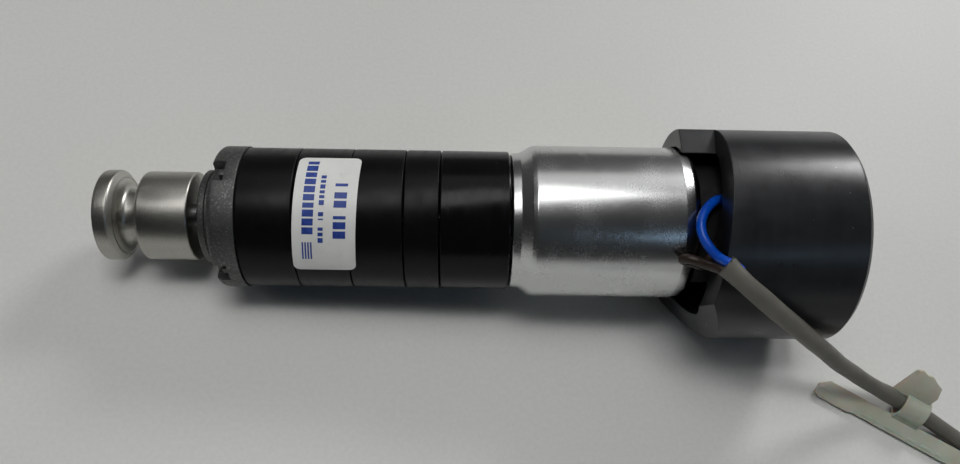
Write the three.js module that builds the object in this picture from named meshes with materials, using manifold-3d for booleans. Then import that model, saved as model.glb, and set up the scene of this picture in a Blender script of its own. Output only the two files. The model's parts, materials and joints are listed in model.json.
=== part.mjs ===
// Small DC gearmotor: a permanent-magnet motor with a three-stage planetary gearhead.
// A grooved pulley sits on the output shaft, and an eccentric plastic cap closes the motor's rear end.
// Millimetres, +Z up. The machine rests on a surface at z = 0: the rear cap is wider than the front
// flange, so the motor axis rises towards the rear. Pieces are drawn along the motor axis, with x = 0
// where the gearhead meets the motor can, and the whole machine is then tilted and set down.
import * as THREE from 'three';
import { mergeVertices } from 'three/addons/utils/BufferGeometryUtils.js';
import Module from 'manifold-3d';

const wasm = await Module();
wasm.setup();

// ---- driving dimensions ----
const GAP = 0.2;                      // joint line between stacked housing sections
const FIT = 0.15;                     // radial room of a pressed or sliding fit
const HOUSING_R = 16.0;               // gearhead, 32 mm across
const CAN_R = 17.5;                   // motor can, 35 mm across
const CAP_R = 24.2;                   // rear cap, 48.4 mm across
const CAP_SHIFT = -3.0;               // the cap's axis lies this far to the -Y side of the motor axis
const FLANGE = { front: -65.5, back: -59.5, r: 16.25, bossFront: -69.0, bossR: 10.7, chamfer: 1.1 };
const SEAMS = [-59.5, -47.2, -35.3, -23.4, -15.6, 0];   // joint lines of the black gearhead sections
const CAN = { neckEnd: 2.3, coneEnd: 5.2, end: 41.5, wall: 1.0, mouthR: 13.6 };
const CAP = { front: 38.4, step: 44.2, back: 74.2, boreR: 17.85, boreEnd: 53.6, ledge: 15.5 };
const PULLEY = { left: -92.1, rim: -88.9, neckR: 6.0, hub: -82.7, right: -71.4, rimR: 10.4, hubR: 10.2 };
const SHAFT_R = 3.0;
const MOTOR_SHAFT_R = 1.5;
const BEARING = { r: 8.0, shoulderR: 6.3, innerR: 4.7, width: 5.0, front: -67.7, rear: -55.8 };
const PIN_R = 1.2;
const PLANETS = 3;
const ROUND = 36;                     // facets round the outer housings
const SMALL_ROUND = 16;               // facets round shafts and bushes

// The lead: a flat two-core cable. It leaves the cap's cut-out over the -Y side, comes down to the surface,
// and what is left of its length is wound into a coil beside the machine.
const SHEATH_R = 2.3;
const CORE_R = 1.05;
const COIL = { x: 104.5, y: -84.0, inner: 20.9, outer: 29.9, height: 8.9 };

// Gear stages, from the output back to the motor. Ratio of a stage = 1 + ring / sun.
const STAGES = {
  output: { sun: 21, planet: 18, ring: 57, module: 0.46, from: -46.6, to: -38.8 },
  middle: { sun: 12, planet: 18, ring: 48, module: 0.55, from: -34.9, to: -27.1 },
  input: { sun: 12, planet: 18, ring: 48, module: 0.55, from: -22.9, to: -17.1 },
};
const BACKLASH = 0.12;
const PRESSURE_ANGLE = THREE.MathUtils.degToRad(20);

// ---- materials ----
const paint = (color, roughness, metalness) => new THREE.MeshStandardMaterial({ color, roughness, metalness });
const LOOKS = {
  castZinc: () => paint(0x8b8d8c, 0.5, 0.9),
  turnedAluminium: () => paint(0xb4b3ae, 0.35, 0.95),
  blackHousing: () => paint(0x121213, 0.35, 0.3),
  platedSteel: () => paint(0xb9bbba, 0.25, 1.0),
  capPlastic: () => paint(0x3d3f41, 0.5, 0.0),
  gearSteel: () => paint(0x8f9194, 0.35, 1.0),
  bearingSteel: () => paint(0xc4c6c8, 0.2, 1.0),
  bronze: () => paint(0xa8773f, 0.4, 0.9),
  copper: () => paint(0xb8683a, 0.4, 0.9),
  magnet: () => paint(0x35363a, 0.6, 0.3),
  blackPlastic: () => paint(0x17181a, 0.45, 0.0),
  brass: () => paint(0xc4a35a, 0.3, 1.0),
  carbon: () => paint(0x2b2b2c, 0.8, 0.1),
  label: () => paint(0xe9e9e4, 0.6, 0.0),
  greySheath: () => paint(0x9b988f, 0.55, 0.0),
  blueCore: () => paint(0x0848d0, 0.45, 0.0),
  brownCore: () => paint(0x5a3420, 0.5, 0.0),
  nylon: () => paint(0xd9d8cf, 0.4, 0.0),
};

// ---- solids ----
function signedVolume(positions, triangles) {
  let sum = 0;
  const a = new THREE.Vector3();
  const b = new THREE.Vector3();
  const c = new THREE.Vector3();
  for (let i = 0; i < triangles.length; i += 3) {
    a.fromArray(positions, triangles[i] * 3);
    b.fromArray(positions, triangles[i + 1] * 3);
    c.fromArray(positions, triangles[i + 2] * 3);
    sum += a.dot(b.cross(c));
  }
  return sum / 6;
}

function solid(geometry) {
  const bare = geometry.clone();
  bare.deleteAttribute('normal');
  bare.deleteAttribute('uv');
  const merged = mergeVertices(bare, 1e-4);
  const positions = merged.attributes.position.array;
  const kept = [];
  const index = merged.index.array;
  for (let i = 0; i < index.length; i += 3) {
    const [a, b, c] = [index[i], index[i + 1], index[i + 2]];
    if (a !== b && b !== c && c !== a) kept.push(a, b, c);
  }
  if (signedVolume(positions, kept) < 0) {
    for (let i = 0; i < kept.length; i += 3) [kept[i], kept[i + 1]] = [kept[i + 1], kept[i]];
  }
  return new wasm.Manifold(new wasm.Mesh({
    numProp: 3,
    vertProperties: new Float32Array(positions),
    triVerts: new Uint32Array(kept),
  }));
}

function geometryOf(manifold) {
  const mesh = manifold.getMesh();
  const geometry = new THREE.BufferGeometry();
  geometry.setAttribute('position', new THREE.BufferAttribute(new Float32Array(mesh.vertProperties), 3));
  geometry.setIndex(new THREE.BufferAttribute(new Uint32Array(mesh.triVerts), 1));
  return geometry;
}

// A solid of revolution about the motor axis. The profile is a list of [x, radius].
function turned(profile, sides = SMALL_ROUND, closed = true) {
  const points = profile.map(([x, r]) => new THREE.Vector2(r, x));
  if (closed) points.push(points[0].clone());
  return new THREE.LatheGeometry(points, sides).rotateZ(-Math.PI / 2);
}

const rod = (from, to, r, sides = SMALL_ROUND) => turned([[from, 0], [from, r], [to, r], [to, 0]], sides, false);
const ring = (from, to, inner, outer, sides = SMALL_ROUND) =>
  turned([[from, inner], [from, outer], [to, outer], [to, inner]], sides);

// An outline in the cross-section (y, z), pulled along the axis from x = from to x = to.
function pulled(points, from, to, holes = []) {
  const shape = new THREE.Shape(points.map(([y, z]) => new THREE.Vector2(-z, y)));
  for (const hole of holes) shape.holes.push(new THREE.Path(hole.map(([y, z]) => new THREE.Vector2(-z, y))));
  return new THREE.ExtrudeGeometry(shape, { depth: to - from, bevelEnabled: false, steps: 1 })
    .rotateY(Math.PI / 2)
    .translate(from, 0, 0);
}

const polar = (r, angle, centre = [0, 0]) => [centre[0] + r * Math.cos(angle), centre[1] + r * Math.sin(angle)];
const circle = (r, sides, centre = [0, 0]) =>
  Array.from({ length: sides }, (_, i) => polar(r, (2 * Math.PI * i) / sides, centre));

// A box given by its low and high corners.
function block(low, high) {
  const size = high.map((v, i) => v - low[i]);
  return new THREE.BoxGeometry(...size).translate(...low.map((v, i) => v + size[i] / 2));
}

// A direction across the axis, as an angle up from the -Y side: 0 points to -Y and 90 degrees up.
const across = (degrees) => {
  const a = THREE.MathUtils.degToRad(degrees);
  return [-Math.cos(a), Math.sin(a)];
};

// Turns a geometry built pointing up (+Z) about the axis, so that it points along across(degrees).
const aimed = (geometry, degrees) => geometry.rotateX(THREE.MathUtils.degToRad(90 - degrees));

// A round bar standing along +Z at x, from radius low to radius high.
function radialBar(x, r, low, high, sides = 16) {
  return new THREE.CylinderGeometry(r, r, high - low, sides)
    .rotateX(Math.PI / 2)
    .translate(x, 0, (low + high) / 2);
}

const cut = (base, ...tools) =>
  geometryOf(tools.reduce((left, tool) => left.subtract(solid(tool)), solid(base)));
const joined = (base, ...others) =>
  geometryOf(others.reduce((sum, other) => sum.add(solid(other)), solid(base)));

// ---- gears ----
const involute = (angle) => Math.tan(angle) - angle;

// Half the angle of a tooth at radius r. thicker is added to its thickness at the pitch circle.
function halfTooth(teeth, module, r, thicker) {
  const pitchR = (teeth * module) / 2;
  const baseR = pitchR * Math.cos(PRESSURE_ANGLE);
  const at = Math.acos(Math.min(1, baseR / r));
  return Math.PI / (2 * teeth) + thicker / (2 * pitchR) + involute(PRESSURE_ANGLE) - involute(at);
}

// Four points a tooth: two at the root and two at the tip.
function gearOutline(teeth, module, phase, { inner, outer, thicker, centre = [0, 0] }) {
  const pitchR = (teeth * module) / 2;
  const points = [];
  for (let i = 0; i < teeth; i += 1) {
    const middle = phase + (2 * Math.PI * i) / teeth;
    const low = halfTooth(teeth, module, Math.max(pitchR - inner, 1e-3), thicker);
    const high = halfTooth(teeth, module, pitchR + outer, thicker);
    points.push(polar(pitchR - inner, middle - low, centre));
    points.push(polar(pitchR + outer, middle - high, centre));
    points.push(polar(pitchR + outer, middle + high, centre));
    points.push(polar(pitchR - inner, middle + low, centre));
  }
  return points;
}

const addendum = (m) => 0.8 * m;
const dedendum = (m) => 1.1 * m;

function externalGear(teeth, module, phase, from, to, boreR, centre = [0, 0]) {
  const outline = gearOutline(teeth, module, phase, {
    inner: dedendum(module), outer: addendum(module), thicker: -BACKLASH, centre,
  });
  return pulled(outline, from, to, boreR ? [circle(boreR, 14, centre)] : []);
}

function planetPlace(stage, k) {
  const angle = (2 * Math.PI * k) / PLANETS;
  const distance = ((stage.sun + stage.planet) * stage.module) / 2;
  const share = 0.5 - (angle * stage.sun) / (2 * Math.PI);
  const phase = angle + Math.PI - (2 * Math.PI * share) / stage.planet;
  return { centre: polar(distance, angle), phase };
}

const planetGear = (stage, k) => {
  const { centre, phase } = planetPlace(stage, k);
  return externalGear(stage.planet, stage.module, phase, stage.from, stage.to, PIN_R + 0.2, centre);
};

// A housing section with the ring's teeth cut in its bore.
function ringGear(stage, from, to) {
  const phase = -(Math.PI / stage.ring) * (1 - stage.planet);
  const bore = gearOutline(stage.ring, stage.module, phase, {
    inner: addendum(stage.module), outer: dedendum(stage.module), thicker: BACKLASH,
  });
  return pulled(circle(HOUSING_R, ROUND), from, to, [bore]);
}

// A planet carrier: a disc with its three pins standing towards the motor.
function carrier(from, to, pinEnd, stage, boreR, withPins) {
  const disc = ring(from, to, boreR, 12.2, ROUND / 2);
  const centres = Array.from({ length: PLANETS }, (_, k) => planetPlace(stage, k).centre);
  if (!withPins) {
    return cut(disc, ...centres.map(([y, z]) => rod(from + 0.6, to + 1, PIN_R + FIT, 14).translate(0, y, z)));
  }
  return joined(disc, ...centres.map(([y, z]) => rod(from + 0.6, pinEnd, PIN_R, 14).translate(0, y, z)));
}

// ---- gearhead ----
const NOTCH_TURN = 7;                 // the first of the flange's four notches, up from the -Y side
const quarters = [0, 90, 180, 270];

function frontFlange() {
  const body = turned([
    [FLANGE.bossFront, 4.2], [FLANGE.bossFront, FLANGE.bossR - 0.5], [FLANGE.bossFront + 0.5, FLANGE.bossR],
    [FLANGE.front, FLANGE.bossR], [FLANGE.front, FLANGE.r - FLANGE.chamfer],
    [FLANGE.front + FLANGE.chamfer, FLANGE.r], [FLANGE.back, FLANGE.r], [FLANGE.back, 12.5],
    [FLANGE.back + 2.4, 12.5], [FLANGE.back + 2.4, 9.6], [FLANGE.back, BEARING.r + FIT],
    [BEARING.front - 0.2, BEARING.r + FIT], [BEARING.front - 0.2, 4.2],
  ], ROUND);
  const notches = quarters.map((q) =>
    aimed(block([FLANGE.front - 1, -2.8, 13.2], [FLANGE.front + 3.3, 2.8, 18]), q + NOTCH_TURN));
  const screwHoles = quarters.map((q) =>
    aimed(rod(FLANGE.front - 1, FLANGE.front + 4.5, 1.25, 12).translate(0, 0, 13.1), q + NOTCH_TURN + 45));
  const tabs = quarters.map((q) =>
    aimed(block([FLANGE.front + 1.9, -0.8, 13.0], [FLANGE.front + 3.5, 0.8, 15.4]), q + NOTCH_TURN));
  return joined(cut(body, ...notches, ...screwHoles), ...tabs);
}

const bearingOuter = (from) => ring(from, from + BEARING.width, BEARING.shoulderR, BEARING.r);
const bearingInner = (from) => ring(from, from + BEARING.width, SHAFT_R + FIT, BEARING.innerR);

// The edges of a black section are broken by a small chamfer, so that the joint lines show.
function section(from, to, inside) {
  return turned([
    [from + 0.25, HOUSING_R], [to - 0.25, HOUSING_R], [to, HOUSING_R - 0.25], ...inside,
    [from, HOUSING_R - 0.25],
  ], ROUND);
}

function bearingHousing() {
  const from = SEAMS[0] + GAP;
  const to = SEAMS[1] - GAP / 2;
  const seatEnd = BEARING.rear + BEARING.width + 0.2;
  return section(from, to, [
    [to, 14], [seatEnd, 14], [seatEnd, BEARING.r + FIT], [BEARING.rear - 0.2, BEARING.r + FIT],
    [BEARING.rear - 0.2, 4.2], [from + 2.6, 4.2], [from + 2.6, 12.8], [from, 12.8],
  ]);
}

function motorAdapter() {
  const from = SEAMS[4] + GAP / 2;
  const to = SEAMS[5] - 0.1;
  const body = section(from, to, [[to, 4.0], [to - 4.4, 4.0], [to - 4.4, 13.2], [from, 13.2]]);
  const holes = [0, 180].map((turn) => aimed(rod(to - 6, to + 1, 1.45, 14).translate(0, 0, 9), turn + 30));
  return cut(body, ...holes);
}

function adapterScrew(turn) {
  const head = SEAMS[5] - 4.8;
  const shape = turned([[head - 2.2, 0], [head - 2.2, 2.3], [head, 2.3], [head, 1.25], [2.0, 1.25], [2.0, 0]],
    14, false);
  return aimed(shape.translate(0, 0, 9), turn + 30);
}

// ---- output side ----
const SET_SCREW_X = -74.8;
const SET_SCREW_TURN = 196;           // up from the -Y side

function outputPulley() {
  const p = PULLEY;
  const body = turned([
    [p.left, SHAFT_R + FIT], [p.left, p.rimR - 0.5], [p.left + 0.4, p.rimR], [p.rim - 0.3, p.rimR],
    [p.rim + 0.9, p.neckR + 1.4], [p.rim + 1.7, p.neckR], [p.hub - 0.9, p.neckR],
    [p.hub, p.hubR - 0.8], [p.hub + 0.8, p.hubR], [p.right - 0.4, p.hubR], [p.right, p.hubR - 0.4],
    [p.right, SHAFT_R + FIT],
  ], ROUND);
  return cut(body, aimed(radialBar(SET_SCREW_X, 1.75, 2, 12), SET_SCREW_TURN));
}

const pulleySetScrew = () => aimed(radialBar(SET_SCREW_X, 1.5, 3.3, 9.0, 14), SET_SCREW_TURN);

function outputShaft() {
  const end = -47.3;
  const shaft = turned([
    [PULLEY.left + 0.5, 0], [PULLEY.left + 0.5, SHAFT_R - 0.4], [PULLEY.left + 0.9, SHAFT_R],
    [end - 0.3, SHAFT_R], [end, SHAFT_R - 0.3], [end, 0],
  ], SMALL_ROUND, false);
  const flat = aimed(block([PULLEY.hub, -4, SHAFT_R - 0.35], [PULLEY.right + 1, 4, 4]), SET_SCREW_TURN);
  const groove = ring(-61.9, -60.9, 2.4, 4, SMALL_ROUND);
  return cut(shaft, flat, groove);
}

// A snap ring in the shaft's groove, open on one side.
function retainingRing() {
  const from = -61.75;
  return cut(ring(from, from + 0.7, 2.6, 4.4), block([from - 1, -1.2, 0], [from + 2, 1.2, 6]));
}

function outputPin(k) {
  const [y, z] = planetPlace(STAGES.output, k).centre;
  return rod(-49.2, STAGES.output.to + 0.3, PIN_R, 14).translate(0, y, z);
}

// A sun pinion with the shank that is pressed into its carrier.
function sunOnCarrier(stage, shankEnd) {
  const gear = externalGear(stage.sun, stage.module, 0, stage.from + 0.2, stage.to + 0.6, 0);
  return joined(gear, rod(stage.to - 1, shankEnd, 2.4, 16));
}

// ---- motor ----
function motorCan() {
  const w = CAN.wall;
  const body = turned([
    [0.2, 3.4], [0.2, 15.2], [0.5, 15.5], [CAN.neckEnd, 15.6], [CAN.coneEnd - 0.6, CAN_R - 0.25],
    [CAN.coneEnd, CAN_R], [CAN.end - 3.6, CAN_R], [CAN.end - 1.8, CAN_R - 0.45], [CAN.end - 0.5, CAN_R - 1.7],
    [CAN.end, CAN_R - 3.1], [CAN.end, CAN.mouthR], [CAN.end - 1.1, CAN_R - 2.3], [CAN.end - 2.3, CAN_R - 1.3],
    [CAN.end - 3.8, CAN_R - w], [CAN.coneEnd, CAN_R - w], [CAN.neckEnd + 0.3, 14.4], [2.2, 14.0], [2.2, 3.4],
  ], ROUND);
  const holes = [0, 180].map((turn) => aimed(rod(-1, 3, 1.45, 14).translate(0, 0, 9), turn + 30));
  return cut(body, ...holes);
}

const END_BELL = { plug: 38.3, shoulder: 41.8, back: 53.2, r: 13.9, plugR: 13.3, chamberR: 8.5 };
const NOTCH_AIM = 66;                 // the end bell's wire notch, up from the -Y side

function motorEndBell() {
  const b = END_BELL;
  const body = turned([
    [49.6, 0], [49.6, 3.6], [45.8, 3.6], [45.8, b.chamberR], [b.plug, b.chamberR], [b.plug, b.plugR],
    [b.shoulder, b.plugR], [b.shoulder, b.r], [b.back, b.r], [b.back, 0],
  ], ROUND, false);
  return cut(body, aimed(block([b.shoulder - 1, -6.5, 12.4], [b.back - 1.8, 6.5, 19]), NOTCH_AIM));
}

const terminal = (side) =>
  aimed(block([48.0, side * 3.2 - 1.2, 12.7], [51.0, side * 3.2 + 1.2, 14.6]), NOTCH_AIM);
const brush = (side) => {
  const [low, high] = side > 0 ? [3.6, 8.1] : [-8.1, -3.6];
  return block([39.0, -1.6, low], [42.4, 1.6, high]);
};

// ---- rear cap ----
// The motor sits off centre in the cap. In front of the step the top is milled away down to a level ledge,
// and the -Y side down to a lower one; below that the corner is cut off at a slant. The step's face is a few
// degrees out of square. The wires come out over the -Y side, where a round pocket widens the bore.
const STEP_NORMAL = [1, -0.085, -0.052];
const OPEN_SIDE = { y: -8, low: -4 };
const POCKET = { y: -9.5, z: -2, r: 11.9 };
const SLANT = { through: [47.0, CAP_SHIFT - 23.4, -6.3], normal: [1, 0.6, 0.24] };

// All that lies in front of a plane, on the side that its normal points away from.
function halfSpace(normal, through) {
  const turn = new THREE.Quaternion().setFromUnitVectors(
    new THREE.Vector3(1, 0, 0), new THREE.Vector3(...normal).normalize());
  return solid(block([-60, -80, -80], [0, 80, 80]).applyQuaternion(turn).translate(...through));
}

function rearCap() {
  const c = CAP;
  const shell = turned([
    [c.front, 0], [c.front, CAP_R], [c.back - 1.1, CAP_R], [c.back, CAP_R - 1.1], [c.back, 0],
  ], 64, false).translate(0, CAP_SHIFT, 0);
  const bore = rod(c.front - 1, c.boreEnd, c.boreR, ROUND);
  const pocket = rod(c.front - 1, c.boreEnd, POCKET.r, ROUND).translate(0, POCKET.y, POCKET.z);
  const ahead = halfSpace(STEP_NORMAL, [c.step, CAP_SHIFT, 0]);
  const milled = solid(block([-60, -60, c.ledge], [90, 60, 60]))
    .add(solid(block([-60, -60, OPEN_SIDE.low], [90, OPEN_SIDE.y, 60])));
  const slant = halfSpace(SLANT.normal, SLANT.through);
  const upToLedge = solid(block([-60, -60, -60], [60, 60, c.ledge]));
  return geometryOf(solid(cut(shell, bore, pocket))
    .subtract(ahead.intersect(milled))
    .subtract(slant.intersect(upToLedge)));
}

// ---- label ----
// The label is stuck on a little askew: its edges move towards +X as they go up round the housing.
const LABEL = { from: -46.9, to: -33.3, middle: 63.5, half: 49, skew: 0.6, r: HOUSING_R + 0.08, thick: 0.14 };

function ratioLabel() {
  const steps = 16;
  const arc = (r) => Array.from({ length: steps + 1 }, (_, i) => {
    const [y, z] = across(LABEL.middle - LABEL.half + (2 * LABEL.half * i) / steps);
    return [y * r, z * r];
  });
  const label = pulled([...arc(LABEL.r), ...arc(LABEL.r + LABEL.thick).reverse()], LABEL.from, LABEL.to);
  const places = label.attributes.position;
  for (let i = 0; i < places.count; i += 1) {
    const turn = Math.atan2(places.getZ(i), -places.getY(i)) - THREE.MathUtils.degToRad(LABEL.middle);
    places.setX(i, places.getX(i) + LABEL.skew * turn);
  }
  return label;
}

// ---- lead ----
// A tube of round section along a smooth curve through the points.
function tube(points, r, sides, steps) {
  const path = new THREE.CatmullRomCurve3(points.map((p) => new THREE.Vector3(...p)), false, 'centripetal');
  const section = new THREE.Shape(circle(r, sides).map(([x, y]) => new THREE.Vector2(x, y)));
  return new THREE.ExtrudeGeometry(section, { steps, extrudePath: path, bevelEnabled: false });
}

// The two cores, from the terminals out over the can's rear edge to the end of the sheath.
// Their points are in the machine's own frame, with x along the motor axis.
const BLUE_CORE = [
  [47.6, -2.4, 14.2], [46.4, -2.5, 14.3], [45.2, -2.7, 14.4], [44.0, -3.6, 15.0], [42.4, -5.3, 15.7],
  [40.9, -7.5, 16.3], [40.0, -9.8, 16.3], [40.0, -12.0, 15.9], [40.6, -14.2, 15.7], [41.5, -16.5, 16.1],
  [42.0, -18.4, 17.6], [42.7, -19.7, 19.1],
];
const BROWN_CORE = [
  [47.6, -8.6, 11.3], [46.7, -8.9, 11.2], [45.2, -11.6, 9.5], [43.5, -13.9, 8.2], [41.9, -15.9, 8.8],
  [40.5, -16.6, 10.0], [39.1, -16.1, 10.0], [38.0, -15.9, 10.2], [36.6, -16.1, 11.4], [37.4, -16.6, 12.7],
  [38.5, -17.0, 12.9], [39.6, -17.7, 13.2], [40.6, -18.8, 14.2], [41.0, -20.0, 15.7], [41.1, -21.1, 17.5],
];

// The sheath, from its cut end at the cap to the coil. From here on the points are in the part's frame.
const SHEATH = [
  [49.7, -18.4, 43.3], [53.5, -21.7, 42.3], [58.0, -23.9, 39.9], [62.6, -25.4, 36.7], [68.3, -26.6, 32.4],
  [74.2, -27.3, 27.3], [79.5, -27.9, 22.8], [84.6, -28.6, 18.4], [89.8, -28.9, 14.3], [94.8, -29.5, 10.6],
  [100.5, -30.4, 7.2], [106.0, -31.9, 4.9], [109.4, -33.6, 3.9], [112.6, -35.6, 3.7], [116.4, -37.9, 2.9],
  [120.2, -40.4, 2.4], [124.3, -43.6, 2.35], [128.0, -47.8, 2.35], [130.7, -53.0, 2.35],
  [131.9, -58.8, 2.35], [132.0, -65.2, 2.35],
];

// The free end comes off the coil towards -X and ends in two stripped cores.
const TAIL = [
  [84.4, -110.0, 5.2], [79.6, -112.0, 3.9], [74.2, -113.7, 2.8], [68.4, -115.0, 2.4], [62.0, -116.0, 2.35],
];
const CORE_ENDS = {
  blue: [[61.2, -114.9, 2.6], [58.0, -114.3, 2.2], [54.0, -113.0, 1.6], [50.0, -111.6, 1.4]],
  brown: [[61.2, -117.2, 2.2], [58.0, -117.7, 1.9], [54.0, -118.6, 1.6], [50.0, -119.9, 1.4]],
};

// A crimped sleeve on a stripped core: a wide collar over the insulation and a thin tube past it.
function ferrule(end, heading) {
  const shape = turned([[0.3, 0], [0.3, 1.35], [2.8, 1.35], [3.6, 0.8], [9.6, 0.8], [9.6, 0]], 12, false);
  return shape.rotateZ(heading).translate(...end);
}

// The marker on the lead: a strap round the sheath, the head and tail of the strap standing up behind it,
// and a long name plate lying in front of it.
const MARKER = { at: [111.0, -34.6, 3.85], heading: -0.56, strapR: 3.6, length: 6.0, clear: 0.6 };

function cableMarkerTie() {
  const m = MARKER;
  const strap = ring(-m.length / 2, m.length / 2, SHEATH_R + m.clear, m.strapR, 16).rotateZ(m.heading);
  const plate = block([-21.5, -6.6, -0.45], [15.5, -1.4, 0.45]).rotateX(0.3).translate(0, -1.3, -1.4);
  const web = block([-3.3, -3.6, -2.4], [3.3, -1.9, 0.2]);
  const flagOutline = [[-4.6, 0], [4.2, 0], [5.2, 2.8], [4.6, 5.6], [1.6, 7.2], [-1.0, 7.4], [-2.4, 6.8]];
  const flag = new THREE.ExtrudeGeometry(
    new THREE.Shape(flagOutline.map(([x, y]) => new THREE.Vector2(x, y))), { depth: 1, bevelEnabled: false })
    .rotateX(0.8)
    .translate(-2.2, 1.2, 2.3);
  const rigid = solid(plate).add(solid(web)).add(solid(flag));
  const bored = rigid.subtract(solid(rod(-30, 30, SHEATH_R + 2 * m.clear, 16)));
  const turnedTo = geometryOf(bored).rotateZ(m.heading);
  return joined(turnedTo, strap).translate(...m.at);
}

const cableCoil = () => new THREE.LatheGeometry([
  new THREE.Vector2(COIL.inner, 0.05), new THREE.Vector2(COIL.outer, 0.05),
  new THREE.Vector2(COIL.outer, COIL.height - 1.6), new THREE.Vector2(COIL.outer - 1.6, COIL.height),
  new THREE.Vector2(COIL.inner + 1.6, COIL.height), new THREE.Vector2(COIL.inner, COIL.height - 1.6),
  new THREE.Vector2(COIL.inner, 0.05),
], 32).rotateX(Math.PI / 2).translate(COIL.x, COIL.y, 0);

// ---- the machine, along its own axis ----
const machine = new THREE.Group();

function add(parent, name, geometry, material) {
  const mesh = new THREE.Mesh(geometry, material);
  mesh.name = name;
  parent.add(mesh);
}

const put = (name, geometry, material) => add(machine, name, geometry, material);

put('front_flange', frontFlange(), LOOKS.castZinc());
put('front_bearing_outer', bearingOuter(BEARING.front), LOOKS.bearingSteel());
put('rear_bearing_outer', bearingOuter(BEARING.rear), LOOKS.bearingSteel());
put('bearing_housing', bearingHousing(), LOOKS.blackHousing());
put('ring_gear_output', ringGear(STAGES.output, SEAMS[1] + GAP / 2, SEAMS[2] - GAP / 2), LOOKS.blackHousing());
put('ring_gear_middle', ringGear(STAGES.middle, SEAMS[2] + GAP / 2, SEAMS[3] - GAP / 2), LOOKS.blackHousing());
put('ring_gear_input', ringGear(STAGES.input, SEAMS[3] + GAP / 2, SEAMS[4] - GAP / 2), LOOKS.blackHousing());
put('motor_adapter', motorAdapter(), LOOKS.blackHousing());
put('adapter_screw_1', adapterScrew(0), LOOKS.gearSteel());
put('adapter_screw_2', adapterScrew(180), LOOKS.gearSteel());
put('ratio_label', ratioLabel(), LOOKS.label());

put('output_pulley', outputPulley(), LOOKS.turnedAluminium());
put('pulley_set_screw', pulleySetScrew(), LOOKS.gearSteel());
put('output_shaft', outputShaft(), LOOKS.gearSteel());
put('shaft_retaining_ring', retainingRing(), LOOKS.gearSteel());
put('front_bearing_inner', bearingInner(BEARING.front), LOOKS.bearingSteel());
put('rear_bearing_inner', bearingInner(BEARING.rear), LOOKS.bearingSteel());
put('output_carrier', carrier(-50.0, -47.6, 0, STAGES.output, SHAFT_R + FIT, false), LOOKS.gearSteel());
put('carrier_middle', carrier(-38.0, -35.6, STAGES.middle.to + 0.3, STAGES.middle, 2.6, true), LOOKS.gearSteel());
put('carrier_input', carrier(-26.2, -23.8, STAGES.input.to + 0.3, STAGES.input, 2.6, true), LOOKS.gearSteel());
put('sun_output', sunOnCarrier(STAGES.output, -35.8), LOOKS.gearSteel());
put('sun_middle', sunOnCarrier(STAGES.middle, -24.0), LOOKS.gearSteel());
for (let k = 0; k < PLANETS; k += 1) {
  put(`output_planet_pin_${k + 1}`, outputPin(k), LOOKS.gearSteel());
  for (const [name, stage] of Object.entries(STAGES)) {
    put(`planet_${name}_${k + 1}`, planetGear(stage, k), LOOKS.gearSteel());
  }
}

put('sun_input', externalGear(STAGES.input.sun, STAGES.input.module, 0, -22.7, -16.4, MOTOR_SHAFT_R + FIT),
  LOOKS.gearSteel());
put('motor_shaft', rod(-22.9, 49.0, MOTOR_SHAFT_R, 16), LOOKS.gearSteel());
put('rotor_winding', turned([[7, 11.2], [7, 12.4], [35.8, 12.4], [35.8, 1.65], [34.4, 1.65], [34.4, 11.2]]),
  LOOKS.copper());
put('commutator', ring(36.2, 43.2, MOTOR_SHAFT_R + FIT, 3.4), LOOKS.copper());
put('motor_can', motorCan(), LOOKS.platedSteel());
put('motor_front_bush', ring(-0.6, 3.6, MOTOR_SHAFT_R + 0.08, 3.2), LOOKS.bronze());
put('stator_magnet', ring(4.6, 33.4, 2.6, 10.4), LOOKS.magnet());
put('motor_end_bell', motorEndBell(), LOOKS.blackPlastic());
put('motor_rear_bush', ring(46.0, 49.3, MOTOR_SHAFT_R + 0.08, 3.4), LOOKS.bronze());
put('brush_plus', brush(1), LOOKS.carbon());
put('brush_minus', brush(-1), LOOKS.carbon());
put('terminal_plus', terminal(1), LOOKS.brass());
put('terminal_minus', terminal(-1), LOOKS.brass());
put('rear_cap', rearCap(), LOOKS.capPlastic());
put('blue_core', tube(BLUE_CORE, CORE_R, 8, 18), LOOKS.blueCore());
put('brown_core', tube(BROWN_CORE, CORE_R, 8, 22), LOOKS.brownCore());

// ---- set down on the surface ----
// The machine touches the surface with the flange's front edge and the lowest line of the cap's lip.
const tilt = Math.atan2(CAP_R - FLANGE.r, CAP.front - (FLANGE.front + FLANGE.chamfer));
machine.rotation.y = -tilt;
machine.updateMatrixWorld(true);
const extent = new THREE.Box3().setFromObject(machine, true);
machine.position.set(
  -(extent.min.x + extent.max.x) / 2,
  -(extent.min.y + extent.max.y) / 2,
  -extent.min.z,
);

const gearmotor = new THREE.Group();
gearmotor.add(machine);
add(gearmotor, 'cable', tube(SHEATH, SHEATH_R, 8, 32), LOOKS.greySheath());
add(gearmotor, 'cable_coil', cableCoil(), LOOKS.greySheath());
add(gearmotor, 'cable_tail', tube(TAIL, SHEATH_R, 8, 6), LOOKS.greySheath());
add(gearmotor, 'cable_marker_tie', cableMarkerTie(), LOOKS.nylon());
for (const [name, look] of [['blue', LOOKS.blueCore], ['brown', LOOKS.brownCore]]) {
  const points = CORE_ENDS[name];
  const [from, to] = points.slice(-2);
  add(gearmotor, `core_end_${name}`, tube(points, CORE_R, 8, 5), look());
  add(gearmotor, `end_ferrule_${name}`, ferrule(to, Math.atan2(to[1] - from[1], to[0] - from[0])),
    LOOKS.bearingSteel());
}

export default gearmotor;
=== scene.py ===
"""Looks for a small DC gearmotor: grooved pulley, planetary gearhead, motor can and eccentric rear cap.

Pieces are drawn along the motor axis in millimetres, with x = 0 where the gearhead meets the can, and then
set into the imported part's frame, where the machine leans on its flange and its cap. The lead's points are
given in the part's own frame.
"""
import json
import math
import random

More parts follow.
